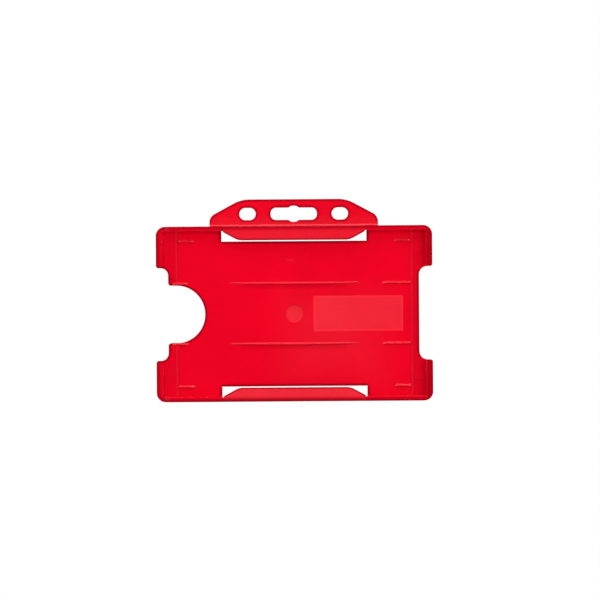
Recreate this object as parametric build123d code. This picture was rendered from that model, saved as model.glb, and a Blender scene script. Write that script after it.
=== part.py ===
from build123d import *
import os

# Rigid open-faced ID card holder, landscape, hung from a keyed slot in its top tab.
# Millimetres. X runs along the holder, Z up, and the open face looks along -Y.
# The origin is the middle of the keyed hanging slot, half way through the tab.

# The tray that holds the card
tray_width = 91.2
tray_height = 57.9
corner_radius = 3.0
panel_thickness = 1.2
holder_depth = 3.5
slot_line_above_tray = 33.0

# Walls that stand on the panel's rim
long_wall_thickness = 1.5
end_wall_thickness = 2.1
entry_wall_top = 2.2
pocket_corner_radius = 0.8

# Cut-outs at the two ends
thumb_radius = 9.5
thumb_centre_x = -38.95
entry_edge_x = -41.6
entry_ear_end = 15.3
entry_step_radius = 2.5
thumb_lip_radius = 0.9
finger_edge_x = 41.2
finger_ear_end = 15.4
finger_step_radius = 2.8
ear_tip_radius = 0.8

# Sprung lips over the card's long edges, and the windows behind them
lip_thickness = 1.0
lip_root_half = 23.6
lip_slope_drop = 0.3
lip_free_half = 18.4
lip_reach = 3.16
lip_root_radius = 1.0
lip_free_radius = 5.0
window_width = 47.9
window_height = 3.5
window_corner_radius = 0.3

# Tab with the hanging slots
tab_half_width = 27.85
tab_top = 37.8
tab_shoulder = 32.15
tab_shoulder_radius = 3.0
tab_top_half = 17.4
tab_top_radius = 9.5
tab_root_fillet = 0.8
slot_height = 4.05
centre_slot_length = 15.3
centre_slot_end_radius = 1.8
key_radius = 2.64
end_slot_length = 5.4
end_slot_spacing = 30.5

# What the card rests on
pad_edge_x = 38.7
pad_height = 0.45
entry_pad_start = 11.5
rib_width = 0.8
rib_line = 10.0
long_rib_half = 22.0
long_rib_crown = 0.5
short_rib_height = 0.45
finger_rib_start = 28.9
thumb_rib_start = -40.4
thumb_rib_end = -35.0
corner_rib_line = 24.0
corner_rib_length = 5.8

# Thin places in the panel
label_width = 29.6
label_height = 11.7
label_centre_x = 21.1
label_recess = 0.3
gate_radius = 2.95
gate_recess = 0.3
gate_stub_radius = 0.6
gate_stub_height = 0.2

half_width = tray_width / 2
half_height = tray_height / 2
pocket_half_width = half_width - end_wall_thickness
pocket_half_height = half_height - long_wall_thickness
lip_underside = holder_depth - lip_thickness
window_centre = pocket_half_height - window_height / 2

# Drawing plane: X across, Y up the tray, and Z towards the viewer from the back face.
back_face = Plane(
    origin=(0, panel_thickness / 2, -slot_line_above_tray),
    x_dir=(1, 0, 0),
    z_dir=(0, -1, 0),
)


def raised(outline, low, high):
    """Solid with the outline's shape, between two heights above the back face."""
    return back_face * Pos(0, 0, low) * extrude(outline, amount=high - low)


def run_down(profile, top, length):
    """Solid that runs down the tray from the line top, its profile drawn in X and height."""
    across = Plane(
        origin=(0, panel_thickness / 2, top - slot_line_above_tray),
        x_dir=(1, 0, 0),
        z_dir=(0, 0, -1),
    )
    return across * extrude(profile, amount=length)


def strip(left, right, bottom, top):
    """Rectangle between two X and two height lines of the drawing plane."""
    return Pos((left + right) / 2, (bottom + top) / 2) * Rectangle(right - left, top - bottom)


def rounded_face(points, radii):
    """Closed face through the points, with one radius at each of them."""
    return make_face(FilletPolyline(*points, radius=radii, close=True))


# Outlines


def tray_outline():
    """Rim of the whole tray: four ears, a thumb notch at the left, a finger notch at the right."""
    upper_right = [
        (half_width, half_height),
        (half_width, finger_ear_end),
        (finger_edge_x, finger_ear_end),
    ]
    upper_left = [
        (entry_edge_x, entry_ear_end),
        (-half_width, entry_ear_end),
        (-half_width, half_height),
    ]
    right_radii = [corner_radius, ear_tip_radius, finger_step_radius]
    left_radii = [entry_step_radius, ear_tip_radius, corner_radius]
    points = upper_right + mirrored_down(upper_right) + mirrored_down(upper_left) + upper_left
    radii = right_radii + right_radii[::-1] + left_radii[::-1] + left_radii
    rim = rounded_face(points, radii)
    rim -= Pos(thumb_centre_x, 0) * Circle(thumb_radius)
    rim -= strip(-half_width, thumb_centre_x, -thumb_radius, thumb_radius)
    sharp = [v for v in rim.vertices() if is_thumb_corner(v)]
    return fillet(sharp, thumb_lip_radius)


def mirrored_down(points):
    """The same points below the tray's centre line, in the order that carries the outline on."""
    return [(x, -z) for x, z in reversed(points)]


def is_thumb_corner(vertex):
    """True where the thumb notch meets the entry edge."""
    return abs(vertex.X - entry_edge_x) < 0.01 and abs(abs(vertex.Y) - thumb_radius) < 0.01


def pocket_outline():
    """Inside of the walls, where the card lies."""
    return RectangleRounded(2 * pocket_half_width, 2 * pocket_half_height, pocket_corner_radius)


def window_outline(side):
    """Hole in the panel behind one lip: side is 1 at the top and -1 at the bottom."""
    hole = RectangleRounded(window_width, window_height, window_corner_radius)
    return Pos(0, side * window_centre) * hole


def label_outline():
    """Thin rectangle for a label."""
    return Pos(label_centre_x, 0) * Rectangle(label_width, label_height)


def rim_outline():
    """Band that the walls stand on."""
    return tray_outline() - pocket_outline()


def lip_outline(side):
    """Lip from the rim's outer face to its free edge, with slanted ends."""
    root = side * half_height
    shoulder = side * (pocket_half_height - lip_slope_drop)
    free = side * (pocket_half_height - lip_reach)
    points = [
        (-lip_root_half, root),
        (-lip_root_half, shoulder),
        (-lip_free_half, free),
        (lip_free_half, free),
        (lip_root_half, shoulder),
        (lip_root_half, root),
    ]
    radii = [0, lip_root_radius, lip_free_radius, lip_free_radius, lip_root_radius, 0]
    return rounded_face(points, radii)


# Panel and its thin places


def back_panel():
    """Flat back, pierced by the two windows and open at the label and the gate disc."""
    outline = tray_outline() - window_outline(1) - window_outline(-1)
    outline -= label_outline()
    outline -= Circle(gate_radius)
    return raised(outline, 0, panel_thickness)


def label_panel():
    """Label area, flush in front and sunk a little into the flat back."""
    return raised(label_outline(), label_recess, panel_thickness)


def gate_disc():
    """Dimpled disc where the plastic entered the mould, with the stub left behind it."""
    disc = raised(Circle(gate_radius), gate_recess, panel_thickness - gate_recess)
    stub = raised(Circle(gate_stub_radius), gate_recess - gate_stub_height, gate_recess)
    return disc + stub


# Walls


def long_wall(side):
    """Wall along the top or bottom, lower where the lip grows out of it."""
    half_run = half_width - corner_radius
    low = side * pocket_half_height
    high = side * half_height
    band = strip(-half_run, half_run, min(low, high), max(low, high))
    wall = raised(band, panel_thickness, holder_depth)
    lip_seat = strip(-lip_root_half, lip_root_half, -half_height, half_height)
    wall -= raised(lip_seat, lip_underside, holder_depth)
    return wall - entry_ramp()


def entry_ramp():
    """Wedge that slopes the long walls down to the low walls at the entry end."""
    drop = holder_depth - entry_wall_top
    start = corner_radius - half_width
    slope = Polygon(
        (start, entry_wall_top),
        (start + drop, holder_depth),
        (start, holder_depth),
        align=None,
    )
    return run_down(slope, half_height, tray_height)


def end_wall(end, side, top):
    """Wall round one ear: end is 1 at the right and -1 at the left, side is 1 at the top."""
    inner = half_width - corner_radius
    across = sorted((end * inner, end * half_width))
    up = sorted((0, side * half_height))
    ear = strip(*across, *up) & rim_outline()
    return raised(ear, panel_thickness, top)


# Tab


def tab_outline():
    """Tab above the tray, with sloping shoulders."""
    right = [(tab_half_width, half_height), (tab_half_width, tab_shoulder), (tab_top_half, tab_top)]
    left = [(-x, z) for x, z in reversed(right)]
    right_radii = [0, tab_shoulder_radius, tab_top_radius]
    return rounded_face(right + left, right_radii + right_radii[::-1])


def slots_outline():
    """Keyed slot in the middle and a short slot on each side of it."""
    keyed = RectangleRounded(centre_slot_length, slot_height, centre_slot_end_radius)
    keyed += Circle(key_radius)
    slots = Pos(0, slot_line_above_tray) * keyed
    for side in (-1, 1):
        short = SlotOverall(end_slot_length, slot_height)
        slots += Pos(side * end_slot_spacing / 2, slot_line_above_tray) * short
    return slots


def root_fillet():
    """Hollow fillet that ties the tab's front to the top wall, all along the tab's root."""
    radius = tab_root_fillet
    corner = Pos(radius / 2, radius / 2) * Rectangle(radius, radius)
    hollow = corner - Pos(radius, radius) * Circle(radius)
    root = Plane(
        origin=(tab_half_width, -panel_thickness / 2, half_height - slot_line_above_tray),
        x_dir=(0, -1, 0),
        z_dir=(-1, 0, 0),
    )
    return root * extrude(hollow, amount=2 * tab_half_width)


def hanging_tab():
    """Slotted tab with its root fillet."""
    plate = raised(tab_outline() - slots_outline(), 0, panel_thickness)
    return plate + root_fillet()


# Card rests


def end_pad(end, low, high):
    """Raised band inside the end walls, between two heights up the tray."""
    across = sorted((end * pad_edge_x, end * half_width))
    band = strip(*across, low, high) & pocket_outline() & tray_outline()
    return raised(band, panel_thickness, panel_thickness + pad_height)


def long_rib(side):
    """Crowned rib, highest half way along and running out at both ends."""
    left = (-long_rib_half, panel_thickness)
    right = (long_rib_half, panel_thickness)
    crown = ThreePointArc(left, (0, panel_thickness + long_rib_crown), right)
    profile = make_face([crown, Line(right, left)])
    return run_down(profile, side * rib_line + rib_width / 2, rib_width)


def short_rib(left, right, line):
    """Straight low rib between two X lines."""
    band = strip(left, right, line - rib_width / 2, line + rib_width / 2)
    return raised(band, panel_thickness, panel_thickness + short_rib_height)


def corner_rib(end, side):
    """Short rib that runs inward from the end pad, near a corner of the card."""
    left, right = sorted((end * pad_edge_x, end * (pad_edge_x - corner_rib_length)))
    return short_rib(left, right, side * corner_rib_line)


# Sprung lips


def card_lip(side):
    """Lip that holds the card's long edge, lying on its wall from the outer face inward."""
    return raised(lip_outline(side), lip_underside, holder_depth)


parts = {
    "back_panel": back_panel(),
    "label_panel": label_panel(),
    "gate_disc": gate_disc(),
    "hanging_tab": hanging_tab(),
    "top_wall": long_wall(1),
    "bottom_wall": long_wall(-1),
    "upper_left_end_wall": end_wall(-1, 1, entry_wall_top),
    "lower_left_end_wall": end_wall(-1, -1, entry_wall_top),
    "upper_right_end_wall": end_wall(1, 1, holder_depth),
    "lower_right_end_wall": end_wall(1, -1, holder_depth),
    "top_lip": card_lip(1),
    "bottom_lip": card_lip(-1),
    "right_end_pad": end_pad(1, -half_height, half_height),
    "upper_left_end_pad": end_pad(-1, entry_pad_start, half_height),
    "lower_left_end_pad": end_pad(-1, -half_height, -entry_pad_start),
    "upper_long_rib": long_rib(1),
    "lower_long_rib": long_rib(-1),
    "upper_finger_rib": short_rib(finger_rib_start, pad_edge_x, rib_line),
    "lower_finger_rib": short_rib(finger_rib_start, pad_edge_x, -rib_line),
    "upper_thumb_rib": short_rib(thumb_rib_start, thumb_rib_end, rib_line),
    "lower_thumb_rib": short_rib(thumb_rib_start, thumb_rib_end, -rib_line),
    "upper_left_corner_rib": corner_rib(-1, 1),
    "lower_left_corner_rib": corner_rib(-1, -1),
    "upper_right_corner_rib": corner_rib(1, 1),
    "lower_right_corner_rib": corner_rib(1, -1),
}

os.makedirs("parts", exist_ok=True)
for name, solid in parts.items():
    solid.label = name
    export_step(solid, f"parts/{name}.step")
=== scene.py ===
import math

import bmesh
import bpy
from mathutils import Matrix, Vector


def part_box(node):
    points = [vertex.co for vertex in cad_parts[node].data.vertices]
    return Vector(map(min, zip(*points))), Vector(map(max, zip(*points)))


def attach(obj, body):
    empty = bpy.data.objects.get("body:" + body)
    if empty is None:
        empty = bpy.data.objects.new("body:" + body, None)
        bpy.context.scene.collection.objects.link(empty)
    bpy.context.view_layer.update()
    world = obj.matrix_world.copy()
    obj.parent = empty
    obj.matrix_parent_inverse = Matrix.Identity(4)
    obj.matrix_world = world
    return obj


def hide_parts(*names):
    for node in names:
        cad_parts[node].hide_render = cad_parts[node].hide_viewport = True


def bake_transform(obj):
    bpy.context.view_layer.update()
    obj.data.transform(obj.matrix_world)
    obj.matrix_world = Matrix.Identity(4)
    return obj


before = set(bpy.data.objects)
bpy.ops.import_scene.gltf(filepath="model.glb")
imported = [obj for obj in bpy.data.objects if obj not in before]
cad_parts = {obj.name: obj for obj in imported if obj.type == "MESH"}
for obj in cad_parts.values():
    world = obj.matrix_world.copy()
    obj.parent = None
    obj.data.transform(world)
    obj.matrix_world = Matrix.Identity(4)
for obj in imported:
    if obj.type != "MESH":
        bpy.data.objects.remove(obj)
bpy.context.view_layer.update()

# Rigid open-faced card holder in translucent red plastic, hung from its tab.
# Shapes are drawn in tray millimetres: across and up from the tray's middle,
# and height above the flat back. at() turns them into metres of the row frame.

MM = 0.001


# ---------------------------------------------------------------- sizes from the frame

panel_low, panel_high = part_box("back_panel")
BACK = panel_high.y
MIDDLE = (panel_low.z + panel_high.z) / 2


def across(x):
    """Tray millimetres across, from metres."""
    return x / MM


def up(z):
    """Tray millimetres up from the tray's middle, from metres."""
    return (z - MIDDLE) / MM


def height(y):
    """Millimetres above the flat back, from metres."""
    return (BACK - y) / MM


def at(x, z, h):
    """Point of the row frame: x across, z up, h above the back, all in tray millimetres."""
    return Vector((x * MM, BACK - h * MM, MIDDLE + z * MM))


HALF_WIDTH = across(panel_high.x)
HALF_HEIGHT = up(panel_high.z)
PANEL = height(panel_low.y)
RIM = height(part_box("top_wall")[0].y)
ENTRY_RIM = height(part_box("upper_left_end_wall")[0].y)
PAD = height(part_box("right_end_pad")[0].y)
LIP_UNDER = height(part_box("top_lip")[1].y)
POCKET_HALF_WIDTH = across(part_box("right_end_pad")[1].x)
POCKET_HALF_HEIGHT = up(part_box("top_wall")[0].z)
PAD_EDGE = across(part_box("right_end_pad")[0].x)
ENTRY_PAD_START = up(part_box("upper_left_end_pad")[0].z)
LIP_FREE = up(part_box("top_lip")[0].z)
LIP_HALF = across(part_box("top_lip")[1].x)
TAB_HALF = across(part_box("hanging_tab")[1].x)
TAB_TOP = up(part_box("hanging_tab")[1].z)
SLOT_LINE = up(0.0)
label_low, label_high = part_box("label_panel")
LABEL = (across(label_low.x), across(label_high.x), up(label_low.z), up(label_high.z))
GATE_RADIUS = across(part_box("gate_disc")[1].x)
GATE_SIDES = 48
RAMP_START = across(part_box("upper_left_end_wall")[1].x)
RAMP_END = RAMP_START + RIM - ENTRY_RIM

# Outline of the ears and notches.
EAR_ROUNDING = 3.0
FINGER_EDGE = 41.2
FINGER_HALF = 15.4
ENTRY_EDGE = -41.6
ENTRY_STEP = 15.3
THUMB_END = -29.45
THUMB_HALF = 9.5
THUMB_ROUNDING = 9.49

# Windows behind the lips: half their length, and where they start above and below the middle.
WINDOW_HALF = 23.95
WINDOW_START = 23.95

# Lips: where the free edge turns into the sloping ends, how much it thins, and how far in the bend reaches.
LIP_SLOPE = 18.4
LIP_THINNING = 0.16

# Slots in the tab.
SLOT_HALF_HEIGHT = 2.025
KEYED_SLOT_HALF = 7.65
KEY_RADIUS = 2.64
END_SLOT_HALF = 2.7
END_SLOT_X = 15.25

# Ribs: how far a crest of full height stands from the foot above and below it, and the long ribs' lines.
RIB_FOOT = 0.62
RIB_BACK = 0.52
LONG_RIB_LINES = (10.0, -10.0)

# Roundings of the moulding's edges.
RIM_ROUNDING = 0.22
CREST_ROUNDING = 0.6
FOOT_ROUNDING = 0.7

# Places closer than this count as the same: NEAR in tray millimetres, WELD in metres.
NEAR = 0.01
WELD = 0.004 * MM


# ---------------------------------------------------------------- shaping


def place(vert):
    """A vertex's place in tray millimetres: across, up, height above the back."""
    return vert.co.x / MM, up(vert.co.z), height(vert.co.y)


def middle_of(face):
    """A face's middle in tray millimetres."""
    co = face.calc_center_median()
    return co.x / MM, up(co.z), height(co.y)


def place_of_edge(edge):
    """An edge's middle in tray millimetres."""
    co = (edge.verts[0].co + edge.verts[1].co) / 2
    return co.x / MM, up(co.z), height(co.y)


def round_corner(bm, vert, radius):
    """Rounds one corner of a flat outline by an arc of that radius."""
    arms = [edge.other_vert(vert).co - vert.co for edge in vert.link_edges]
    turn = math.pi - arms[0].angle(arms[1])
    segments = max(4, round(math.degrees(turn) / 14 * math.sqrt(radius)))
    bmesh.ops.bevel(
        bm,
        geom=[vert],
        offset=radius * MM * math.tan(turn / 2),
        offset_type="OFFSET",
        affect="VERTICES",
        segments=segments,
        profile=0.5,
        material=-1,
    )


def flat_face(bm, corners, h):
    """Flat face through the corners (x, z, radius) at one height, each corner rounded."""
    verts = [bm.verts.new(at(x, z, h)) for x, z, _ in corners]
    bm.faces.new(verts)
    for vert, (_, _, radius) in zip(verts, corners):
        if radius:
            round_corner(bm, vert, radius)


def flat_loop(bm, corners, h):
    """Closed wire through the corners (x, z, radius) at one height, returned as its edges."""
    known = set(bm.edges)
    verts = [bm.verts.new(at(x, z, h)) for x, z, _ in corners]
    for one, other in zip(verts, verts[1:] + verts[:1]):
        bm.edges.new((one, other))
    for vert, (_, _, radius) in zip(verts, corners):
        if radius:
            round_corner(bm, vert, radius)
    return [edge for edge in bm.edges if edge not in known]


def circle_loop(bm, x, z, radius, h, sides):
    """Round wire facing the viewer, returned as its edges."""
    turned = Matrix.Translation(at(x, z, h)) @ Matrix.Rotation(math.pi / 2, 4, "X")
    made = bmesh.ops.create_circle(bm, cap_ends=False, segments=sides, radius=radius * MM, matrix=turned)
    return list(dict.fromkeys(edge for vert in made["verts"] for edge in vert.link_edges))


def cut(bm, x=None, z=None, within=None):
    """Cuts the faces along a line of constant x or z. within says which faces, by their middles."""
    faces = [f for f in bm.faces if within is None or within(*middle_of(f))]
    touched = dict.fromkeys(item for f in faces for item in f.edges[:] + f.verts[:])
    point = at(x or 0, z or 0, 0)
    normal = (1, 0, 0) if z is None else (0, 0, 1)
    geom = faces + list(touched)
    bmesh.ops.bisect_plane(bm, geom=geom, dist=WELD, plane_co=point, plane_no=normal)


def drop_faces(bm, inside):
    """Deletes the faces whose middles are inside."""
    gone = [face for face in bm.faces if inside(*middle_of(face))]
    bmesh.ops.delete(bm, geom=gone, context="FACES")


def pierce(bm, left, right, bottom, top, loop):
    """Opens a hole in flat faces: a rectangle is cut out and filled in again up to the loop."""
    for x in (left, right):
        cut(bm, x=x)
    for z in (bottom, top):
        cut(bm, z=z)
    drop_faces(bm, lambda x, z, h: left < x < right and bottom < z < top)

    def on_border(edge):
        x, z, _ = place_of_edge(edge)
        return left - NEAR < x < right + NEAR and bottom - NEAR < z < top + NEAR

    border = [edge for edge in bm.edges if len(edge.link_faces) == 1 and on_border(edge)]
    bmesh.ops.bridge_loops(bm, edges=border + loop)


def extruded(bm, faces):
    """Extrudes faces in place and returns the new vertices, ready to be moved."""
    made = bmesh.ops.extrude_face_region(bm, geom=faces)
    return [item for item in made["geom"] if isinstance(item, bmesh.types.BMVert)]


def lift(bm, verts, rise):
    """Moves vertices forward, away from the back."""
    bmesh.ops.translate(bm, vec=(0, -rise * MM, 0), verts=verts)


def thicken(bm, rise):
    """Makes a closed plate from flat faces by extruding them all."""
    lift(bm, extruded(bm, bm.faces[:]), rise)


def raise_faces(bm, rise, chosen):
    """Raises the chosen faces into a block and removes the faces that it leaves inside."""
    faces = [face for face in bm.faces if chosen(*middle_of(face))]
    lift(bm, extruded(bm, faces), rise)
    bmesh.ops.delete(bm, geom=faces, context="FACES")


def round_edges(bm, radius, chosen, segments=3, sharper_than=35):
    """Rounds the edges that turn by more than an angle and that are chosen by their middles."""
    least = math.radians(sharper_than)
    edges = [
        edge
        for edge in bm.edges
        if len(edge.link_faces) == 2 and edge.calc_face_angle(0) > least and chosen(edge)
    ]
    bmesh.ops.bevel(
        bm,
        geom=edges,
        offset=radius * MM,
        offset_type="OFFSET",
        affect="EDGES",
        segments=segments,
        profile=0.5,
        material=-1,
        clamp_overlap=True,
    )


def finish_piece(name, bm, body, replaced, material):
    """Closes a mesh into a smooth named piece that rides on its body."""
    bmesh.ops.remove_doubles(bm, verts=bm.verts[:], dist=WELD)
    bmesh.ops.recalc_face_normals(bm, faces=bm.faces[:])
    for face in bm.faces:
        face.smooth = True
    for edge in bm.edges:
        edge.smooth = edge.calc_face_angle(0) < math.radians(40)
    mesh = bpy.data.meshes.new(name)
    bm.to_mesh(mesh)
    bm.free()
    piece = bpy.data.objects.new(name, mesh)
    bpy.context.scene.collection.objects.link(piece)
    mesh.materials.append(material)
    weighted = piece.modifiers.new("even_faces", "WEIGHTED_NORMAL")
    weighted.keep_sharp = True
    weighted.weight = 80
    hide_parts(*replaced)
    if body:
        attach(piece, body)
    return piece


# ---------------------------------------------------------------- camera, light and stage


def make_camera():
    """Long lens square on to the open face, rolled a touch as the holder hangs."""
    sensor, distance, view_width = 36, 1.5, 0.1983
    data = bpy.data.cameras.new("camera")
    data.sensor_width = sensor
    data.lens = sensor * distance / view_width
    data.clip_end = 20
    camera = bpy.data.objects.new("camera", data)
    bpy.context.scene.collection.objects.link(camera)
    look_at = at(1.88, 4.49, 0)
    camera.location = look_at + Vector((0, -distance, 0))
    roll = math.radians(-0.42)
    turned = Matrix.Rotation(math.pi / 2, 4, "X") @ Matrix.Rotation(roll, 4, "Z")
    camera.rotation_euler = turned.to_euler()
    bpy.context.scene.camera = camera


def area_light(name, spot, aim, size, power):
    """Square white softbox aimed at a point, in metres and watts."""
    data = bpy.data.lights.new(name, "AREA")
    data.size = size
    data.energy = power
    light = bpy.data.objects.new(name, data)
    bpy.context.scene.collection.objects.link(light)
    light.location = spot
    light.rotation_euler = (aim - spot).to_track_quat("-Z", "Y").to_euler()


def seen_or_lit(tree, seen, lit):
    """One shader for what the camera looks straight at, and another for the light it gives."""
    path = add(tree, "ShaderNodeLightPath")
    inputs = {"Fac": path.outputs["Is Camera Ray"], 1: lit.outputs[0], 2: seen.outputs[0]}
    return add(tree, "ShaderNodeMixShader", inputs).outputs[0]


def make_lights():
    """Softbox high above the tab, one on either side in front, and a surround that is dark only in front."""
    fill_strength = 0.70
    centre = at(0, 0, 0)
    area_light("top_softbox", centre + Vector((0.05, -0.40, 1.05)), centre, 0.55, 5.8)
    for side in (-1, 1):
        area_light("front_softbox", centre + Vector((side * 1.2, -1.1, 0.35)), centre, 0.9, 13.5)

    world = bpy.data.worlds.new("white_surround")
    bpy.context.scene.world = world
    world.use_nodes = True
    tree = world.node_tree
    tree.nodes.clear()
    heading = split(tree, add(tree, "ShaderNodeTexCoord").outputs["Generated"])
    strength = ramp_between(tree, heading["Y"], -0.85, -0.45, 0.0, fill_strength)
    seen = add(tree, "ShaderNodeBackground", {"Color": (1, 1, 1, 1), "Strength": 1.0})
    fill = add(tree, "ShaderNodeBackground", {"Color": (1, 1, 1, 1), "Strength": strength})
    add(tree, "ShaderNodeOutputWorld", {"Surface": seen_or_lit(tree, seen, fill)})


def make_floor():
    """Plain pale floor, well below the hanging holder."""
    bm = bmesh.new()
    bmesh.ops.create_grid(bm, x_segments=1, y_segments=1, size=2)
    bmesh.ops.translate(bm, verts=bm.verts[:], vec=(0, 0, panel_low.z - 0.5))
    mesh = bpy.data.meshes.new("floor")
    bm.to_mesh(mesh)
    bm.free()
    floor = bpy.data.objects.new("floor", mesh)
    bpy.context.scene.collection.objects.link(floor)
    material = bpy.data.materials.new("pale_floor")
    material.use_nodes = True
    tree = material.node_tree
    tree.nodes.clear()
    seen = add(tree, "ShaderNodeEmission", {"Strength": 1.0})
    lit = add(tree, "ShaderNodeBsdfDiffuse", {"Color": (0.6, 0.6, 0.6, 1)})
    add(tree, "ShaderNodeOutputMaterial", {"Surface": seen_or_lit(tree, seen, lit)})
    mesh.materials.append(material)


def set_colour_view():
    """Plain colour response, so that white stays white and the red stays clean."""
    view = bpy.context.scene.view_settings
    view.view_transform = "Standard"
    view.look = "None"


# ---------------------------------------------------------------- plastic


def add(tree, kind, inputs=None, **settings):
    """New node in a tree, with its settings and its inputs as values or as links from sockets."""
    node = tree.nodes.new(kind)
    for name, value in settings.items():
        setattr(node, name, value)
    for name, value in (inputs or {}).items():
        if isinstance(value, bpy.types.NodeSocket):
            tree.links.new(value, node.inputs[name])
        else:
            node.inputs[name].default_value = value
    return node


def maths(tree, operation, first, second=0.0, third=0.0):
    """Result of one sum on two or three values."""
    node = add(tree, "ShaderNodeMath", {0: first, 1: second, 2: third}, operation=operation)
    return node.outputs[0]


def ramp_between(tree, value, start, end, low=0.0, high=1.0):
    """Smooth change from low to high as the value goes from start to end."""
    inputs = {"Value": value, "From Min": start, "From Max": end, "To Min": low, "To Max": high}
    node = add(tree, "ShaderNodeMapRange", inputs, interpolation_type="SMOOTHSTEP")
    return node.outputs["Result"]


def vector_maths(tree, operation, first, second=(0, 0, 0)):
    """Result of one sum on vectors."""
    return add(tree, "ShaderNodeVectorMath", {0: first, 1: second}, operation=operation).outputs[0]


def length(tree, vector):
    """Length of a vector."""
    return add(tree, "ShaderNodeVectorMath", {0: vector}, operation="LENGTH").outputs["Value"]


def split(tree, vector):
    """X, Y and Z of a vector."""
    return add(tree, "ShaderNodeSeparateXYZ", {0: vector}).outputs


def mixed_colour(tree, share, first, second):
    """Colour between two others. A mix of colours has its own three sockets: 6 and 7 in, 2 out."""
    node = add(tree, "ShaderNodeMix", {"Factor": share, 6: first, 7: second}, data_type="RGBA")
    return node.outputs[2]


def noise(tree, inputs):
    """Value of a noise texture."""
    return add(tree, "ShaderNodeTexNoise", inputs).outputs["Fac"]


def piece_spot(tree):
    """Place on a piece, which stays with it when its body moves."""
    return add(tree, "ShaderNodeTexCoord").outputs["Object"]


def new_group(name, inputs, outputs):
    """Shader node group with named float, vector or colour sockets; inputs carry their defaults."""
    tree = bpy.data.node_groups.new(name, "ShaderNodeTree")
    for label, kind, default in inputs:
        socket = tree.interface.new_socket(name=label, in_out="INPUT", socket_type=kind)
        socket.default_value = default
    for label, kind in outputs:
        tree.interface.new_socket(name=label, in_out="OUTPUT", socket_type=kind)
    return tree, tree.nodes.new("NodeGroupInput"), tree.nodes.new("NodeGroupOutput")


FLOAT = "NodeSocketFloat"
VECTOR = "NodeSocketVector"
COLOUR = "NodeSocketColor"
BOX = [("Middle", VECTOR, (0, 0, 0)), ("Half Size", VECTOR, (0.01, 0.01, 0.01))]


def past_half_size(tree, given):
    """How far a place lies past the box of a group's inputs, on each axis: below 0 inside it."""
    offset = vector_maths(tree, "SUBTRACT", piece_spot(tree), given.outputs["Middle"])
    folded = vector_maths(tree, "ABSOLUTE", offset)
    return split(tree, vector_maths(tree, "SUBTRACT", folded, given.outputs["Half Size"]))


def soft_box_group():
    """Mask of a box in the holder, by its middle and half size, with a soft border."""
    inputs = BOX + [("Softness", FLOAT, 0.0004)]
    tree, given, result = new_group("soft_box", inputs, [("Inside", FLOAT)])
    past = past_half_size(tree, given)
    farthest = maths(tree, "MAXIMUM", maths(tree, "MAXIMUM", past["X"], past["Y"]), past["Z"])
    share = maths(tree, "DIVIDE", farthest, given.outputs["Softness"])
    tree.links.new(ramp_between(tree, share, 0.5, -0.5), result.inputs["Inside"])
    return tree


def rim_distance_group():
    """How far inside a round-cornered outline a place is, in millimetres."""
    inputs = BOX + [("Corner", FLOAT, 0.003)]
    tree, given, result = new_group("rim_distance", inputs, [("Distance", FLOAT)])
    past = past_half_size(tree, given)
    out_x = maths(tree, "ADD", past["X"], given.outputs["Corner"])
    out_z = maths(tree, "ADD", past["Z"], given.outputs["Corner"])
    past_x = maths(tree, "MAXIMUM", out_x, 0.0)
    past_z = maths(tree, "MAXIMUM", out_z, 0.0)
    squares = maths(tree, "MULTIPLY_ADD", past_x, past_x, maths(tree, "MULTIPLY", past_z, past_z))
    round_part = maths(tree, "SQRT", squares)
    flat_part = maths(tree, "MINIMUM", maths(tree, "MAXIMUM", out_x, out_z), 0.0)
    away = maths(tree, "SUBTRACT", maths(tree, "ADD", round_part, flat_part), given.outputs["Corner"])
    tree.links.new(maths(tree, "MULTIPLY", away, -1 / MM), result.inputs["Distance"])
    return tree


def cut_edge_group():
    """Mask of the solid's own edges, where a thin rim of plastic looks dark: painted shade found by
    occlusion inside the solid.
    """
    tree, given, result = new_group("cut_edge", [("Reach", FLOAT, 0.0011)], [("Edge", FLOAT)])
    inputs = {"Distance": given.outputs["Reach"]}
    inside = add(tree, "ShaderNodeAmbientOcclusion", inputs, inside=True, only_local=True, samples=6)
    tree.links.new(ramp_between(tree, inside.outputs["AO"], 0.985, 0.74), result.inputs["Edge"])
    return tree


def flow_group():
    """Slow clouds and faint streaks that fan out from the gate, as the plastic filled the mould."""
    outputs = [("Cloud", FLOAT), ("Streak", FLOAT)]
    tree, given, result = new_group("mould_flow", [("Gate", VECTOR, (0, 0, 0))], outputs)
    spot = piece_spot(tree)
    clouds = {"Vector": spot, "Scale": 45.0, "Detail": 3.0, "Roughness": 0.55, "Distortion": 0.6}
    tree.links.new(noise(tree, clouds), result.inputs["Cloud"])
    offset = vector_maths(tree, "SUBTRACT", spot, given.outputs["Gate"])
    parts = split(tree, offset)
    angle = maths(tree, "ARCTAN2", parts["Z"], parts["X"])
    turned = maths(tree, "MULTIPLY", angle, 9.0)
    reach = maths(tree, "MULTIPLY", length(tree, offset), 60.0)
    fan = add(tree, "ShaderNodeCombineXYZ", {0: turned, 1: reach}).outputs[0]
    streaks = {"Vector": fan, "Scale": 1.6, "Detail": 4.0}
    tree.links.new(noise(tree, streaks), result.inputs["Streak"])
    return tree


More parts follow.
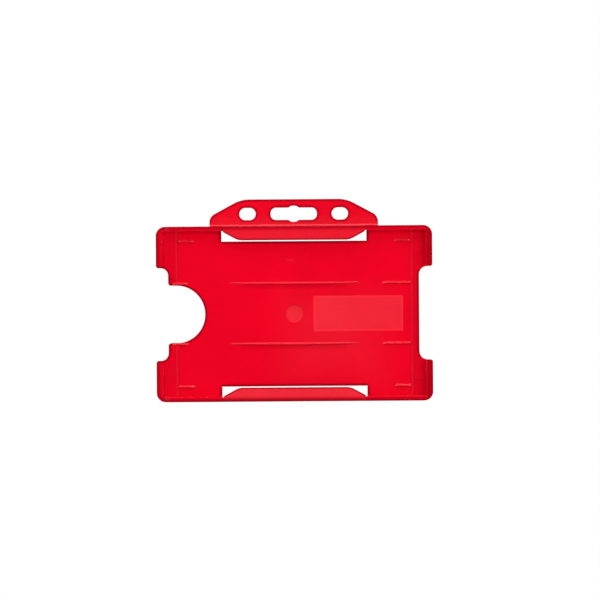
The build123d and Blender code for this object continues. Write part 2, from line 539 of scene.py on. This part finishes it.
def red_depth_group():
    """Red of the plastic by how much of it the light passes: pale where thin, dark where deep. Its masks
    also paint highlights and shade into it, and one of them brightens the colour as a painted highlight.
    """
    masks = [("Thin", FLOAT, 0.0), ("Deep And Shade", FLOAT, 0.0), ("Lift", FLOAT, 0.0)]
    patterns = [("Cloud", FLOAT, 0.5), ("Streak", FLOAT, 0.5)]
    tree, given, result = new_group("red_depth", masks + patterns, [("Colour", COLOUR)])
    # The pale red also serves painted highlights, and the deep red serves painted shade.
    panel_red = (0.860, 0.0016, 0.0190, 1)
    thin_and_lit_red = (0.905, 0.0260, 0.0470, 1)
    deep_and_shaded_red = (0.300, 0.0006, 0.0070, 1)
    pale = mixed_colour(tree, given.outputs["Thin"], panel_red, thin_and_lit_red)
    dark = mixed_colour(tree, given.outputs["Deep And Shade"], pale, deep_and_shaded_red)
    cloudy = ramp_between(tree, given.outputs["Cloud"], 0.3, 0.7, 0.97, 1.03)
    streaky = ramp_between(tree, given.outputs["Streak"], 0.3, 0.7, 0.985, 1.015)
    shade = maths(tree, "ADD", given.outputs["Lift"], maths(tree, "MULTIPLY", cloudy, streaky))
    toned = add(tree, "ShaderNodeVectorMath", {0: dark, "Scale": shade}, operation="SCALE")
    tree.links.new(toned.outputs[0], result.inputs["Colour"])
    return tree


def mould_finish_group():
    """Fine grain of the mould and the hair scratches of handling, as roughness and height."""
    inputs = [("Smooth", FLOAT, 0.10), ("Wear", FLOAT, 1.0)]
    outputs = [("Roughness", FLOAT), ("Height", FLOAT)]
    tree, given, result = new_group("mould_finish", inputs, outputs)
    spot = piece_spot(tree)
    grain = noise(tree, {"Vector": spot, "Scale": 5200.0, "Detail": 2.0})
    patch = noise(tree, {"Vector": spot, "Scale": 160.0, "Detail": 3.0})
    marks = 0.0
    for turn, stretch in ((0.5, 1.0), (-0.9, 1.3), (1.35, 0.8)):
        lay = {"Vector": spot, "Rotation": (0, turn, 0), "Scale": (60 * stretch, 60, 2600 * stretch)}
        laid = add(tree, "ShaderNodeMapping", lay).outputs[0]
        hair = noise(tree, {"Vector": laid, "Scale": 1.0, "Detail": 1.0})
        marks = maths(tree, "MAXIMUM", ramp_between(tree, hair, 0.735, 0.775), marks)
    marks = maths(tree, "MULTIPLY", marks, given.outputs["Wear"])
    rough = maths(tree, "MULTIPLY_ADD", ramp_between(tree, patch, 0.35, 0.7), 0.05, given.outputs["Smooth"])
    rough = maths(tree, "MULTIPLY_ADD", marks, 0.12, rough)
    rough = maths(tree, "MULTIPLY_ADD", grain, 0.03, rough)
    tree.links.new(rough, result.inputs["Roughness"])
    height_out = maths(tree, "MULTIPLY_ADD", marks, -1.0, grain)
    tree.links.new(height_out, result.inputs["Height"])
    return tree


SOFT_BOX = soft_box_group()
RIM_DISTANCE = rim_distance_group()
CUT_EDGE = cut_edge_group()
FLOW = flow_group()
RED_DEPTH = red_depth_group()
MOULD_FINISH = mould_finish_group()


def use_group(tree, group, inputs=None):
    """Places a node group in a material with its own values."""
    return add(tree, "ShaderNodeGroup", inputs, node_tree=group)


def box_inputs(left, right, bottom, top):
    """Box between two X lines and two height lines of the tray, all through the holder."""
    half_depth = 0.02
    middle = at((left + right) / 2, (bottom + top) / 2, 0)
    half = ((right - left) / 2 * MM, half_depth, (top - bottom) / 2 * MM)
    return {"Middle": middle, "Half Size": half}


def box_mask(tree, left, right, bottom, top, softness):
    """Mask of such a box, with a border that is softness millimetres wide."""
    inputs = box_inputs(left, right, bottom, top)
    inputs["Softness"] = softness * MM
    return use_group(tree, SOFT_BOX, inputs).outputs["Inside"]


def rim_distance(tree, left, right, bottom, top, corner):
    """How many millimetres a place lies inside such a box with round corners."""
    inputs = box_inputs(left, right, bottom, top)
    inputs["Corner"] = corner * MM
    return use_group(tree, RIM_DISTANCE, inputs).outputs["Distance"]


def within_bands(tree, mask, bands):
    """Keeps a mask only in box-shaped bands (left, right, bottom, top) and their mirror images below."""
    kept = 0.0
    for left, right, bottom, top in bands:
        for low, high in {(bottom, top), (-top, -bottom)}:
            kept = maths(tree, "MAXIMUM", box_mask(tree, left, right, low, high, 0.15), kept)
    return maths(tree, "MULTIPLY", mask, kept)


# Share of the light that comes through the plastic, and how far past the tray a mask may run.
GLOW = 0.22
AROUND = 9


def wall_darkness(tree):
    """Dark of the walls, partly their deeper plastic and partly painted shade: deepest at the tray's outline
    and gone at their inner faces.
    """
    wide, tall = HALF_WIDTH + AROUND, HALF_HEIGHT + AROUND
    inwards = rim_distance(tree, -HALF_WIDTH, HALF_WIDTH, -HALF_HEIGHT, HALF_HEIGHT, EAR_ROUNDING)
    dark = ramp_between(tree, inwards, -0.1, 1.9, 0.95, 0.0)
    # Painted light: the walls are left less dark over the top, where the light from above falls.
    lit_from_above = box_mask(tree, -wide, wide, 26.5, 40, 0.6)
    dark = maths(tree, "MULTIPLY", dark, maths(tree, "MULTIPLY_ADD", lit_from_above, -0.18, 1.0))
    end = box_mask(tree, POCKET_HALF_WIDTH - 0.1, wide, -tall, tall, 1.6)
    return maths(tree, "MAXIMUM", dark, maths(tree, "MULTIPLY", end, 0.74))


def red_plastic(name, thin_and_highlight_mask, deep_and_shade_mask, edges=None, highlight_mask=None, gloss=0.3):
    """Translucent red polypropylene. The masks are made by functions of the material's tree; besides thin
    and deep plastic they paint highlights and shade into the colour.

    edges, for the painted shade along a piece's cut edges, is a dictionary of their bands, of the mask's
    amount and of the reach of that shade in millimetres.
    """
    material = bpy.data.materials.new(name)
    material.use_nodes = True
    tree = material.node_tree
    tree.nodes.clear()
    flow = use_group(tree, FLOW, {"Gate": at(0, 0, 0)})
    deep = deep_and_shade_mask(tree)
    if edges:
        # Painted shade along the piece's cut edges.
        rim = use_group(tree, CUT_EDGE, {"Reach": edges["reach"] * MM}).outputs["Edge"]
        rim = within_bands(tree, rim, edges["bands"])
        deep = maths(tree, "MAXIMUM", deep, maths(tree, "MULTIPLY", rim, edges["amount"]))
    depth = {
        "Thin": thin_and_highlight_mask(tree),
        "Deep And Shade": deep,
        "Lift": highlight_mask(tree) if highlight_mask else 0.0,
        "Cloud": flow.outputs["Cloud"],
        "Streak": flow.outputs["Streak"],
    }
    colour = use_group(tree, RED_DEPTH, depth).outputs["Colour"]
    finish = use_group(tree, MOULD_FINISH)
    relief = {"Height": finish.outputs["Height"], "Strength": 0.025, "Distance": 0.05 * MM}
    skin = {
        "Base Color": colour,
        "Roughness": finish.outputs["Roughness"],
        "Normal": add(tree, "ShaderNodeBump", relief).outputs["Normal"],
        "IOR": 1.49,
        "Specular IOR Level": gloss,
    }
    surface = add(tree, "ShaderNodeBsdfPrincipled", skin)
    through = add(tree, "ShaderNodeBsdfTranslucent", {"Color": (0.86, 0.002, 0.02, 1)})
    blend = {"Fac": GLOW, 1: surface.outputs[0], 2: through.outputs[0]}
    mix = add(tree, "ShaderNodeMixShader", blend)
    add(tree, "ShaderNodeOutputMaterial", {"Surface": mix.outputs[0]})
    return material


def steady(value):
    """A mask that is the same all over."""
    return lambda tree: value


def tray_deep_and_shade_mask(tree):
    """Dark over the walls, which is partly painted shade, a little over the end pads, and a painted shadow
    under the long ribs.
    """
    wide = POCKET_HALF_WIDTH + AROUND
    right_pad = box_mask(tree, PAD_EDGE, wide, -HALF_HEIGHT, HALF_HEIGHT, 0.5)
    left_pad = box_mask(tree, -wide, -PAD_EDGE, -HALF_HEIGHT, HALF_HEIGHT, 1.0)
    notch = box_mask(tree, -wide, -PAD_EDGE + 1, -ENTRY_PAD_START, ENTRY_PAD_START, 2.5)
    left_pad = maths(tree, "MULTIPLY", left_pad, maths(tree, "SUBTRACT", 1.0, notch))
    pads = maths(tree, "MULTIPLY_ADD", left_pad, 0.13, maths(tree, "MULTIPLY", right_pad, 0.22))
    # Painted shadow under each long rib.
    for line in LONG_RIB_LINES:
        shade = box_mask(tree, -17.5, 17.5, line - 1.7, line - 0.2, 1.1)
        pads = maths(tree, "MULTIPLY_ADD", shade, 0.15, pads)
    return maths(tree, "MAXIMUM", pads, wall_darkness(tree))


def tray_pale_and_highlight_mask(tree):
    """A little paler between the gate and the label, and a painted highlight along the pads' inner edges."""
    middle = maths(tree, "MULTIPLY", box_mask(tree, -1, 27, -19, 3, 24.0), 0.30)
    # Painted highlight along each pad's inner edge.
    for line in (-PAD_EDGE, PAD_EDGE):
        crest = box_mask(tree, line - 0.35, line + 0.35, -POCKET_HALF_HEIGHT, POCKET_HALF_HEIGHT, 0.3)
        middle = maths(tree, "MULTIPLY_ADD", crest, 0.35, middle)
    return middle


def label_thin_mask(tree):
    """Pale all over, and palest at the end nearer the gate."""
    return ramp_between(tree, split(tree, piece_spot(tree))["X"], 6 * MM, 24 * MM, 1.08, 0.85)


def label_highlight_mask(tree):
    """Painted highlight: a bright line just inside the label's four sides."""
    return ramp_between(tree, rim_distance(tree, *LABEL, 0.1), 0.3, 0.8, 0.17, 0.02)


def gate_highlight_mask(tree):
    """Painted highlight: a bright crescent inside the gate disc's lower right rim."""
    shift = 0.35 * MM
    spot = split(tree, piece_spot(tree))
    flat = {0: spot["X"], 1: maths(tree, "SUBTRACT", spot["Z"], MIDDLE)}
    off_centre = add(tree, "ShaderNodeCombineXYZ", flat).outputs[0]
    away = length(tree, vector_maths(tree, "ADD", off_centre, (shift, -shift, 0)))
    return ramp_between(tree, away, (GATE_RADIUS - 0.25) * MM, GATE_RADIUS * MM, 0.0, 0.12)


def tab_pale_and_highlight_mask(tree):
    """Paler towards the tab's root, and a painted highlight along the fillet, where it takes light from the
    wall.
    """
    low, high = at(0, 29.3, 0).z, at(0, 33.5, 0).z
    slope = ramp_between(tree, split(tree, piece_spot(tree))["Z"], low, high, 0.42, 0.06)
    # Painted highlight along the root fillet.
    fillet = box_mask(tree, -TAB_HALF, TAB_HALF, HALF_HEIGHT + 0.1, HALF_HEIGHT + 0.55, 0.3)
    return maths(tree, "MAXIMUM", slope, maths(tree, "MULTIPLY", fillet, 0.8))


def facing_up(tree, start, end, low, high):
    """Mask by how far a surface turns up: 0 is level with the panel and 1 looks straight up."""
    facing = split(tree, add(tree, "ShaderNodeNewGeometry").outputs["Normal"])
    return ramp_between(tree, facing["Z"], start, end, low, high)


def rib_highlight_mask(tree):
    """Painted highlight on a rib's upper flank, which takes the light from above."""
    return facing_up(tree, 0.12, 0.5, 0.1, 0.8)


def rib_shade_mask(tree):
    """Painted shade on a rib's lower flank."""
    return facing_up(tree, -0.15, -0.6, 0.0, 0.28)


def lip_thin_mask(amount):
    """Mask that is paler over the free part of a lip than over its root in the wall."""

    def mask(tree):
        above = maths(tree, "SUBTRACT", split(tree, piece_spot(tree))["Z"], MIDDLE)
        away = maths(tree, "ABSOLUTE", above)
        start, end = (POCKET_HALF_HEIGHT - 0.6) * MM, (HALF_HEIGHT - 0.5) * MM
        return ramp_between(tree, away, start, end, amount, amount * 0.2)

    return mask


def top_lip_wall_and_shade_mask(tree):
    """Dark of the wall behind the top lip, and a painted shade line under the tab's fillet."""
    # Painted shade line along the wall's top edge, under the tab's fillet.
    line = box_mask(tree, -LIP_HALF, LIP_HALF, HALF_HEIGHT - 0.75, HALF_HEIGHT - 0.4, 0.2)
    return maths(tree, "MAXIMUM", wall_darkness(tree), maths(tree, "MULTIPLY", line, 0.3))


# ---------------------------------------------------------------- tray


def mirrored_down(corners):
    """The same corners below the middle line, in the order that carries the outline on."""
    return [(x, -z, radius) for x, z, radius in reversed(corners)]


def tray_corners():
    """Tray outline, round from the upper right: ears, finger notch and thumb notch."""
    upper_right = [
        (HALF_WIDTH, HALF_HEIGHT, EAR_ROUNDING),
        (HALF_WIDTH, FINGER_HALF, 0.8),
        (FINGER_EDGE, FINGER_HALF, 2.8),
    ]
    upper_left = [
        (THUMB_END, THUMB_HALF, THUMB_ROUNDING),
        (ENTRY_EDGE, THUMB_HALF, 0.9),
        (ENTRY_EDGE, ENTRY_STEP, 2.5),
        (-HALF_WIDTH, ENTRY_STEP, 0.8),
        (-HALF_WIDTH, HALF_HEIGHT, EAR_ROUNDING),
    ]
    return upper_right + mirrored_down(upper_right) + mirrored_down(upper_left) + upper_left


def on_rim(x, z, h):
    """Over the band that the walls stand on."""
    return abs(x) > POCKET_HALF_WIDTH or abs(z) > POCKET_HALF_HEIGHT


def on_pad(x, z, h):
    """Over the raised bands inside the end walls."""
    if on_rim(x, z, h):
        return False
    return x > PAD_EDGE or (x < -PAD_EDGE and abs(z) > ENTRY_PAD_START)


def on_lip_seat(x, z, h):
    """Over the lower stretch of the long walls that a lip grows out of."""
    return abs(x) < LIP_HALF and abs(z) > POCKET_HALF_HEIGHT


def in_window(x, z, h):
    """Inside either window behind the lips."""
    return abs(x) < WINDOW_HALF and WINDOW_START < abs(z) < POCKET_HALF_HEIGHT


def on_label(x, z, h):
    """Inside the label's rectangle."""
    left, right, bottom, top = LABEL
    return left < x < right and bottom < z < top


def cut_tray_face(bm):
    """Divides the tray's face along the edges of its walls, pads, windows and label."""
    for side in (-1, 1):
        cut(bm, x=side * POCKET_HALF_WIDTH)
        cut(bm, z=side * POCKET_HALF_HEIGHT)
        cut(bm, x=side * PAD_EDGE)
        cut(bm, z=side * ENTRY_PAD_START, within=lambda x, z, h: x < -PAD_EDGE)
        cut(bm, x=side * WINDOW_HALF)
        cut(bm, z=side * WINDOW_START)
        cut(bm, x=side * LIP_HALF, within=on_rim)
        cut(bm, x=side * TAB_HALF, within=on_rim)
    for x in (RAMP_START, RAMP_END):
        cut(bm, x=x, within=on_rim)
    left, right, bottom, top = LABEL
    for x in (left, right):
        cut(bm, x=x)
    for z in (bottom, top):
        cut(bm, z=z)


def slope_entry_rim(bm):
    """Lowers the rim at the entry end, which leaves a ramp down from each long wall."""
    for vert in bm.verts:
        x, _, h = place(vert)
        if x < RAMP_START + NEAR and h > PAD + NEAR:
            share = (h - PAD) / (RIM - PAD)
            vert.co.y = BACK - (PAD + share * (ENTRY_RIM - PAD)) * MM


def is_shell_edge(edge):
    """Edges of the moulding itself, and not those where the label, gate, lips or tab join it."""
    x, z, h = place_of_edge(edge)
    left, right, bottom, top = LABEL
    round_label = left - 0.1 < x < right + 0.1 and bottom - 0.1 < z < top + 0.1
    round_gate = math.hypot(x, z) < GATE_RADIUS + 0.1
    at_seat = abs(x) < LIP_HALF + NEAR and abs(z) > POCKET_HALF_HEIGHT - NEAR and h > LIP_UNDER - NEAR
    at_tab = abs(x) < TAB_HALF and z > HALF_HEIGHT - NEAR and h < NEAR
    if round_label:
        return abs(h) < NEAR
    if round_gate:
        return abs(h - PANEL) < NEAR
    return not (at_seat or at_tab)


def is_inner_crest(edge):
    """Crests of the full-height walls where they look into the pocket."""
    x, z, h = place_of_edge(edge)
    beside = abs(abs(x) - POCKET_HALF_WIDTH) < NEAR or abs(abs(z) - POCKET_HALF_HEIGHT) < NEAR
    return beside and h > RIM - NEAR and abs(x) > LIP_HALF + NEAR


def is_wall_foot(edge):
    """Corners between the walls and the pocket's floor, clear of the windows."""
    x, z, h = place_of_edge(edge)
    beside_end = abs(abs(x) - POCKET_HALF_WIDTH) < NEAR and abs(h - PAD) < NEAR
    beside_long = abs(abs(z) - POCKET_HALF_HEIGHT) < NEAR and h < PAD + NEAR and h > PANEL - NEAR
    return beside_end or (beside_long and abs(x) > WINDOW_HALF + 0.3)


def make_tray_shell(material):
    """Flat back with its walls and end pads, as the one skin that the mould gives it."""
    bm = bmesh.new()
    flat_face(bm, tray_corners(), 0)
    cut_tray_face(bm)
    drop_faces(bm, in_window)
    drop_faces(bm, on_label)
    ring = circle_loop(bm, 0, 0, GATE_RADIUS, 0, GATE_SIDES)
    around_gate = 4.0
    pierce(bm, -around_gate, around_gate, -around_gate, around_gate, ring)
    bmesh.ops.remove_doubles(bm, verts=bm.verts[:], dist=WELD)
    thicken(bm, PANEL)

    def to_pad(x, z, h):
        return h > PANEL - NEAR and (on_rim(x, z, h) or on_pad(x, z, h))

    def to_lip_seat(x, z, h):
        return h > PAD - NEAR and on_rim(x, z, h)

    def to_rim(x, z, h):
        return h > LIP_UNDER - NEAR and not on_lip_seat(x, z, h)

    raise_faces(bm, PAD - PANEL, to_pad)
    raise_faces(bm, LIP_UNDER - PAD, to_lip_seat)
    raise_faces(bm, RIM - LIP_UNDER, to_rim)
    slope_entry_rim(bm)
    bmesh.ops.recalc_face_normals(bm, faces=bm.faces[:])
    round_edges(bm, CREST_ROUNDING, is_inner_crest, segments=5)
    round_edges(bm, FOOT_ROUNDING, is_wall_foot, segments=5)
    round_edges(bm, RIM_ROUNDING, is_shell_edge)
    replaced = [
        "back_panel",
        "top_wall",
        "bottom_wall",
        "upper_left_end_wall",
        "lower_left_end_wall",
        "upper_right_end_wall",
        "lower_right_end_wall",
        "right_end_pad",
        "upper_left_end_pad",
        "lower_left_end_pad",
    ]
    return finish_piece("tray_shell", bm, "holder_body", replaced, material)


# ---------------------------------------------------------------- tab and lips


def tab_corners():
    """Tab outline above the tray's top edge, with sloping shoulders."""
    right = [(TAB_HALF, HALF_HEIGHT, 0), (TAB_HALF, 32.15, 3.0), (17.4, TAB_TOP, 9.5)]
    left = [(-x, z, radius) for x, z, radius in reversed(right)]
    return right + left


def fill_between(bm):
    """Fills the flat area inside the outer wire and outside the inner ones."""
    bmesh.ops.triangle_fill(bm, use_beauty=True, use_dissolve=False, edges=bm.edges[:])


def rounded_slot(x, half_length, radius):
    """Corners of a round-ended slot on the slot line."""
    low, high = SLOT_LINE - SLOT_HALF_HEIGHT, SLOT_LINE + SLOT_HALF_HEIGHT
    left, right = x - half_length, x + half_length
    return [(left, low, radius), (right, low, radius), (right, high, radius), (left, high, radius)]


def keyed_slot_loop(bm):
    """Wire of the middle slot: a long slot whose middle swells into a round key."""
    low = SLOT_LINE - SLOT_HALF_HEIGHT
    shoulder = math.sqrt(KEY_RADIUS**2 - SLOT_HALF_HEIGHT**2)
    reach = shoulder * 0.62
    left, right, end = -KEYED_SLOT_HALF, KEYED_SLOT_HALF, 1.8
    corners = [(left, low, end), (-shoulder, low, 0), (-reach, SLOT_LINE - KEY_RADIUS, 1.6)]
    corners += [(reach, SLOT_LINE - KEY_RADIUS, 1.6), (shoulder, low, 0), (right, low, end)]
    upper = [(x, 2 * SLOT_LINE - z, radius) for x, z, radius in reversed(corners)]
    return flat_loop(bm, corners + upper, 0)


def root_fillet(bm):
    """Hollow fillet between the tab's front and the top wall, along the tab's root."""
    radius = 0.8
    steps = 6
    left, right = -TAB_HALF + 0.05, TAB_HALF - 0.05
    profile = [(HALF_HEIGHT, PANEL - 0.3), (HALF_HEIGHT, PANEL + radius)]
    for step in range(1, steps + 1):
        turn = math.pi / 2 * step / steps
        profile.append((HALF_HEIGHT + radius * (1 - math.cos(turn)), PANEL + radius * (1 - math.sin(turn))))
    profile.append((HALF_HEIGHT + radius, PANEL - 0.3))
    face = bm.faces.new([bm.verts.new(at(left, z, h)) for z, h in profile])
    bmesh.ops.translate(bm, vec=((right - left) * MM, 0, 0), verts=extruded(bm, [face]))


def make_hanging_tab(material):
    """Slotted tab with eased edges and its root fillet."""
    bm = bmesh.new()
    flat_loop(bm, tab_corners(), 0)
    keyed_slot_loop(bm)
    for x in (-END_SLOT_X, END_SLOT_X):
        flat_loop(bm, rounded_slot(x, END_SLOT_HALF, SLOT_HALF_HEIGHT - NEAR), 0)
    fill_between(bm)
    thicken(bm, PANEL)
    bmesh.ops.recalc_face_normals(bm, faces=bm.faces[:])
    round_edges(bm, RIM_ROUNDING, lambda edge: place_of_edge(edge)[1] > HALF_HEIGHT + NEAR)
    root_fillet(bm)
    return finish_piece("slotted_tab", bm, "holder_body", ["hanging_tab"], material)


def make_lip(side, material):
    """Lip over a window: its root lies on the wall, and it thins towards its free edge."""
    word = "top" if side > 0 else "bottom"
    corners = [
        (-LIP_HALF, HALF_HEIGHT, 0),
        (-LIP_HALF, POCKET_HALF_HEIGHT - 0.3, 1.0),
        (-LIP_SLOPE, LIP_FREE, 5.0),
        (LIP_SLOPE, LIP_FREE, 5.0),
        (LIP_HALF, POCKET_HALF_HEIGHT - 0.3, 1.0),
        (LIP_HALF, HALF_HEIGHT, 0),
    ]
    bm = bmesh.new()
    flat_face(bm, [(x, side * z, radius) for x, z, radius in corners], LIP_UNDER)
    cut(bm, z=side * POCKET_HALF_HEIGHT)
    thicken(bm, RIM - LIP_UNDER)
    bmesh.ops.recalc_face_normals(bm, faces=bm.faces[:])

    def is_free_edge(edge):
        _, z, h = place_of_edge(edge)
        outer_crest = abs(z) > HALF_HEIGHT - NEAR and h > RIM - NEAR
        return abs(z) < POCKET_HALF_HEIGHT - NEAR or outer_crest

    round_edges(bm, RIM_ROUNDING, is_free_edge)
    for share in (0.2, 0.4, 0.6, 0.8):
        cut(bm, z=side * (POCKET_HALF_HEIGHT + share * (LIP_FREE - POCKET_HALF_HEIGHT)))
    thin_lip_edge(bm)
    piece = finish_piece(f"{word}_card_lip", bm, None, [f"{word}_lip"], material)
    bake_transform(piece)
    return piece


def thin_lip_edge(bm):
    """Thins a lip towards its free edge, from the front."""
    for vert in bm.verts:
        _, z, h = place(vert)
        share = (POCKET_HALF_HEIGHT - abs(z)) / (POCKET_HALF_HEIGHT - LIP_FREE)
        if share > 0 and h > LIP_UNDER + 0.3:
            vert.co.y += LIP_THINNING * share * MM


# ---------------------------------------------------------------- label, gate and ribs


def make_label(material):
    """Rectangle for a label, flush in front with eased front edges, and sunk behind; the bright line round
    it is a painted highlight in its material.
    """
    left, right, bottom, top = LABEL
    bm = bmesh.new()
    back, front = height(label_high.y), height(label_low.y)
    flat_face(bm, [(left, bottom, 0), (right, bottom, 0), (right, top, 0), (left, top, 0)], back)
    thicken(bm, front - back)
    bmesh.ops.recalc_face_normals(bm, faces=bm.faces[:])
    round_edges(bm, 0.07, lambda edge: place_of_edge(edge)[2] > front - NEAR, segments=2)
    return finish_piece("label_recess", bm, "holder_body", ["label_panel"], material)


def make_gate(material):
    """Dimpled gate disc, hollowed a little in front, with the gate's broken stub behind."""
    low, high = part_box("gate_disc")
    front, stub = height(low.y), height(high.y)
    back = stub + 0.2
    bm = bmesh.new()
    overlap = GATE_RADIUS + 0.02
    dimple = [(GATE_RADIUS * 0.3, front - 0.08), (GATE_RADIUS * 0.75, front - 0.03), (overlap, front)]
    behind = [(overlap, back), (0.75, back), (0.55, stub + 0.05), (0.3, stub)]
    chain = [circle_loop(bm, 0, 0, radius, h, GATE_SIDES) for radius, h in dimple + behind]
    for one, other in zip(chain, chain[1:]):
        bmesh.ops.bridge_loops(bm, edges=one + other)
    for loop in (chain[0], chain[-1]):
        bmesh.ops.edgeloop_fill(bm, edges=loop)
    return finish_piece("gate_mark", bm, "holder_body", ["gate_disc"], material)


def ridge(bm, left, right, line, crest):
    """Rounded ridge on the panel between two X lines; crest(x) is its height there.

    Its upper flank slopes as much as it rises, and its lower one is steeper.
    """
    steps = max(6, round((right - left) / 1.1))
    made = bmesh.ops.create_grid(bm, x_segments=steps, y_segments=3, size=0.5)["verts"]
    buried = 0.06
    for vert in made:
        x = left + (vert.co.x + 0.5) * (right - left)
        top = max(crest(x), 0.03)
        foot = RIB_FOOT - 0.4 * (0.5 - top)
        offsets = (foot, foot - top, -RIB_BACK + 0.35 + 0.5 * (0.5 - top), -RIB_BACK + 0.8 * (0.5 - top))
        column = round((0.5 - vert.co.y) * 3)
        on_top = column in (1, 2) and abs(vert.co.x) < 0.499
        vert.co = at(x, line + offsets[column], PANEL + (top if on_top else -buried))
    for vert in extruded(bm, bm.faces[:]):
        vert.co.y = BACK - (PANEL - 2 * buried) * MM
    bmesh.ops.recalc_face_normals(bm, faces=bm.faces[:])
    round_edges(bm, 0.1, lambda edge: place_of_edge(edge)[2] > PANEL + 0.02, segments=2, sharper_than=20)


def make_rib(node, name, crest, material):
    """Rib in the place of its CAD node."""
    low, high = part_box(node)
    bm = bmesh.new()
    line = (up(low.z) + up(high.z)) / 2
    ridge(bm, across(low.x), across(high.x), line, crest)
    return finish_piece(name, bm, "holder_body", [node], material)


def make_ribs(material):
    """Long crowned ribs, and the short ones at the notches and the card's corners."""
    reach = across(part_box("upper_long_rib")[1].x)
    crown = height(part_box("upper_long_rib")[0].y) - PANEL
    level = height(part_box("upper_finger_rib")[0].y) - PANEL

    def crowned(x):
        return crown * max(1 - (x / reach) ** 2, 0.0) ** 0.7

    def flat(x):
        return level

    for word in ("upper", "lower"):
        make_rib(f"{word}_long_rib", f"{word}_crowned_rib", crowned, material)
        for kind in ("finger_rib", "thumb_rib", "left_corner_rib", "right_corner_rib"):
            make_rib(f"{word}_{kind}", f"{word}_{kind}_ridge", flat, material)


def make_ejector_marks(material):
    """Faint round witness marks that the ejector pins leave on the end pads."""
    pin_radius, buried, thickness = 1.85, 0.05, 0.09
    bm = bmesh.new()
    for x in (-41.1, 41.0):
        for z in (-20.2, 22.0):
            loop = circle_loop(bm, x, z, pin_radius, PAD - buried, 32)
            disc = bmesh.ops.edgeloop_fill(bm, edges=loop)["faces"]
            lift(bm, extruded(bm, disc), thickness)
    bmesh.ops.recalc_face_normals(bm, faces=bm.faces[:])
    round_edges(bm, 0.03, lambda edge: True, segments=2)
    return finish_piece("ejector_marks", bm, "holder_body", [], material)


def make_oval_bump(material):
    """Low oval bump on the panel above the gate."""
    middle, half, line, crest = -1.4, 1.35, 17.5, 0.16

    def dome(x):
        return crest * math.sqrt(max(1 - ((x - middle) / half) ** 2, 0.0))

    bm = bmesh.new()
    ridge(bm, middle - half, middle + half, line, dome)
    return finish_piece("oval_bump", bm, "holder_body", [], material)


# ---------------------------------------------------------------- making

set_colour_view()
make_camera()
make_lights()
make_floor()

# Bands (left, right, bottom, top) that hold the painted shade along the cut edges; their mirror images below
# count too.
CUT_OUTS = (
    (-WINDOW_HALF - 1.5, WINDOW_HALF + 1.5, WINDOW_START - 1.5, POCKET_HALF_HEIGHT - 0.2),
    (-HALF_WIDTH, -28, -10.4, 10.4),
    (-HALF_WIDTH, ENTRY_EDGE + 1.2, -15.9, 15.9),
    (FINGER_EDGE - 1.2, POCKET_HALF_WIDTH - 0.6, -14.5, 14.5),
)
FREE_EDGES = ((-LIP_HALF - 1, LIP_HALF + 1, LIP_FREE - 1, POCKET_HALF_HEIGHT - 0.1),)
ABOVE_ROOT = ((-TAB_HALF - 1, TAB_HALF + 1, 30.3, TAB_TOP + 1),)
# Painted shade along the cut edges of the tray, the tab and the lips.
tray_edge_shade = {"bands": CUT_OUTS, "amount": 1.0, "reach": 1.1}
tab_edge_shade = {"bands": ABOVE_ROOT, "amount": 0.8, "reach": 1.1}
lip_edge_shade = {"bands": FREE_EDGES, "amount": 1.0, "reach": 0.75}

tray_red = red_plastic("tray_red", tray_pale_and_highlight_mask, tray_deep_and_shade_mask, tray_edge_shade, gloss=0.12)
tab_red = red_plastic("tab_red", tab_pale_and_highlight_mask, steady(0.0), tab_edge_shade, gloss=0.22)
top_lip_red = red_plastic("top_lip_red", lip_thin_mask(0.5), top_lip_wall_and_shade_mask, lip_edge_shade)
bottom_lip_red = red_plastic("bottom_lip_red", lip_thin_mask(1.0), wall_darkness, lip_edge_shade)
label_red = red_plastic("label_red", label_thin_mask, steady(0.0), highlight_mask=label_highlight_mask)
gate_red = red_plastic("gate_red", steady(0.95), steady(0.0), highlight_mask=gate_highlight_mask)
rib_red = red_plastic("rib_red", rib_highlight_mask, rib_shade_mask, gloss=0.25)
mark_red = red_plastic("mark_red", steady(0.0), steady(0.08))

make_tray_shell(tray_red)
make_hanging_tab(tab_red)
make_lip(1, top_lip_red)
make_lip(-1, bottom_lip_red)
make_label(label_red)
make_gate(gate_red)
make_ribs(rib_red)
make_ejector_marks(mark_red)
make_oval_bump(rib_red)
